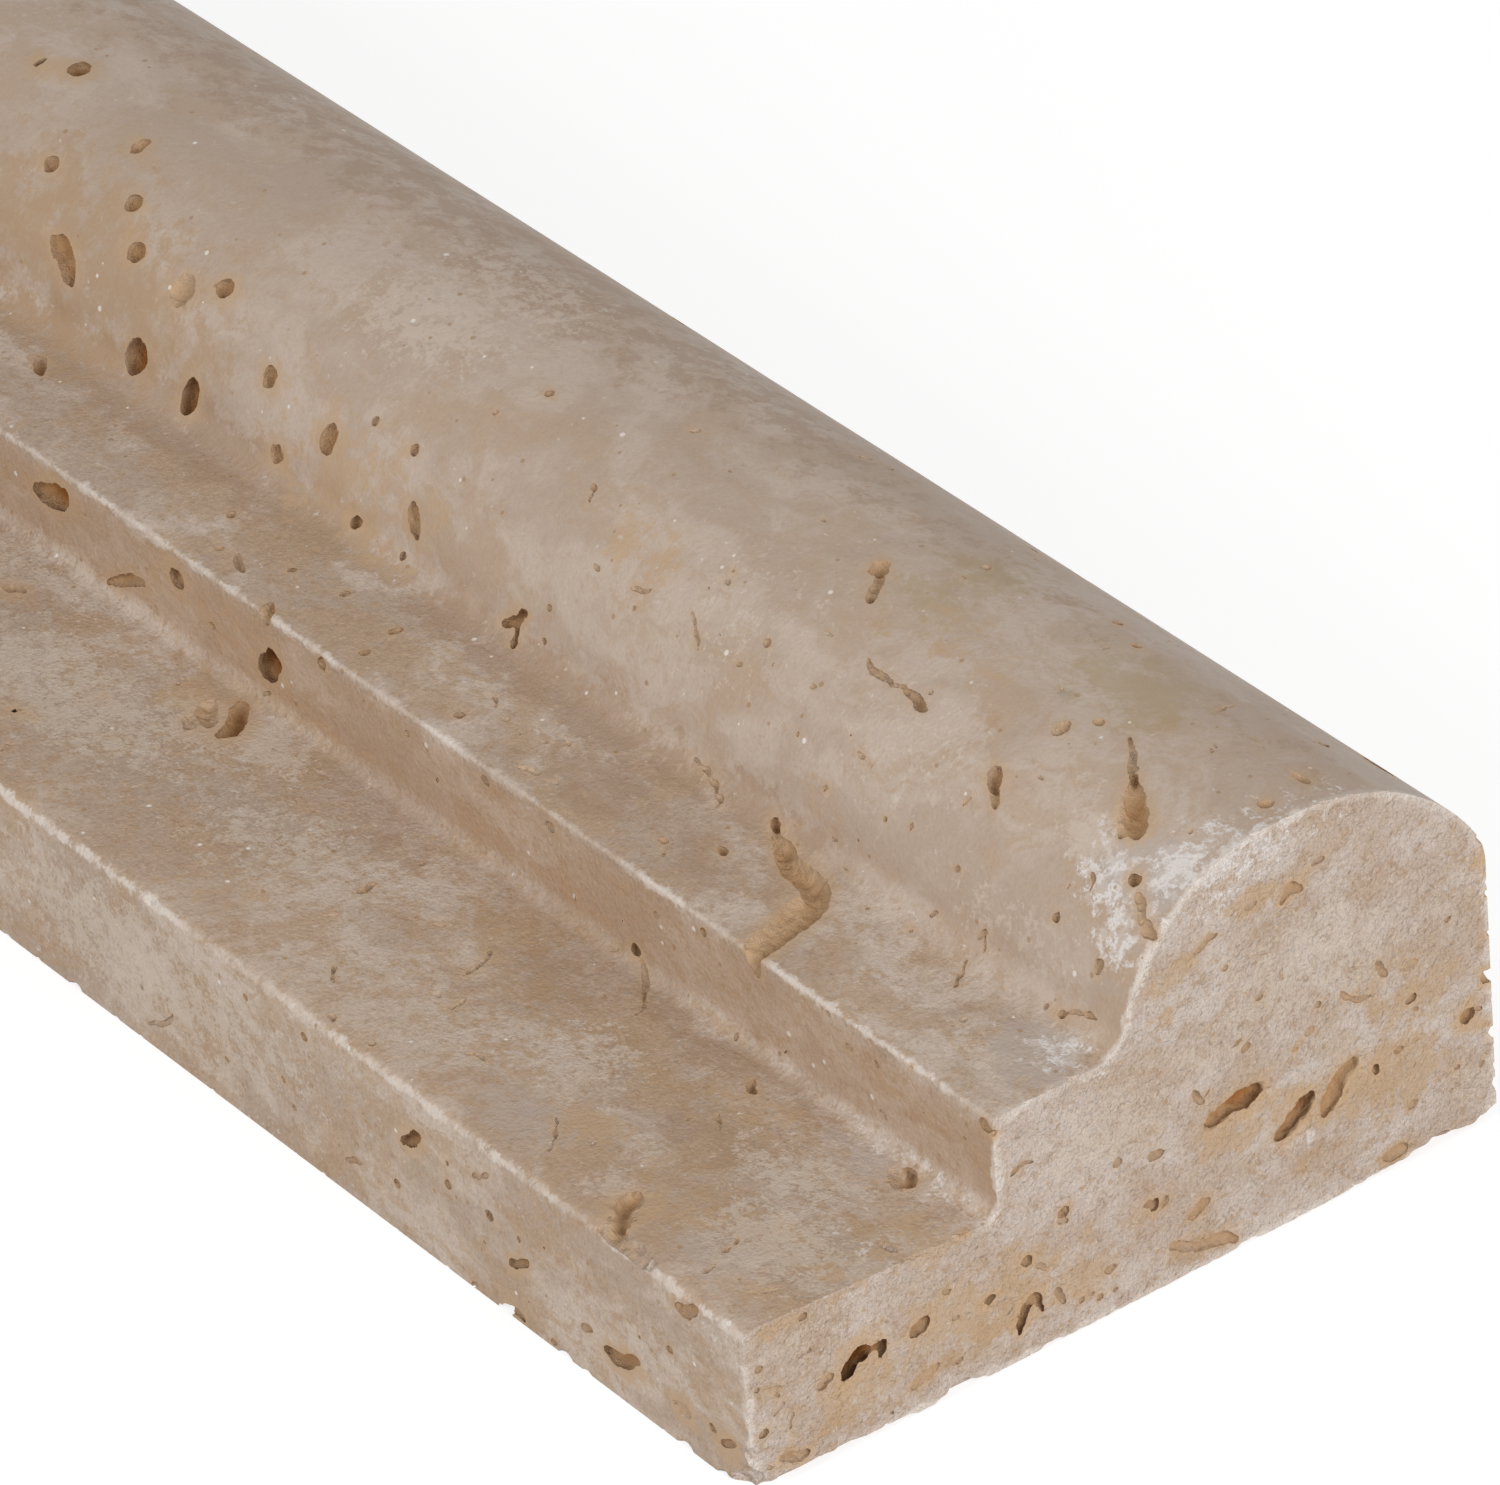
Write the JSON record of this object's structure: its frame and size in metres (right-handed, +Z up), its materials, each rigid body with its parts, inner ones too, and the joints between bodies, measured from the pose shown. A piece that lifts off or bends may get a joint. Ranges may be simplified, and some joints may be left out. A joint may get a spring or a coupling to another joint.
{
  "type": "travertine crown moulding",
  "caption": "Honed travertine crown moulding: a low lip, a level step with a small cove and a round crest, one bar of stone lying on its flat back.",
  "frame": {"origin": "middle of the flat back, which is the face set against the wall and the face the bar lies on", "axes": "+X along the length between the two sawn ends, +Y from the lip to the back edge below the crest, +Z up out of the flat back"},
  "size_m": [0.305, 0.0636, 0.0322],
  "materials": {
    "travertine": "honed"
  },
  "bodies": {
    "root": {"moulding": "travertine"}
  },
  "joints": []
}
